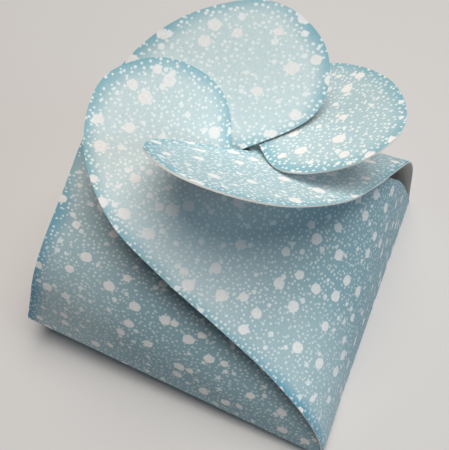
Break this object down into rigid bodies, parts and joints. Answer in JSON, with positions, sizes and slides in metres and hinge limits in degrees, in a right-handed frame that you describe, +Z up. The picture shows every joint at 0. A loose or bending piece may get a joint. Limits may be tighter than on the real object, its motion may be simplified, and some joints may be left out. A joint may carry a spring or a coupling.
{
  "type": "twisted gift box",
  "caption": "Square favour box folded from one card sheet, with round petals that bend over and lock in a ring to close the top.",
  "frame": {"origin": "middle of the base, on the flat part of its underside", "axes": "+Z up out of the base, X and Y along the sides of the base"},
  "size_m": [0.0604, 0.0604, 0.057],
  "materials": {
    "printed_card": "matte printed card"
  },
  "bodies": {
    "root": {"folded_box": "printed_card"}
  },
  "joints": []
}
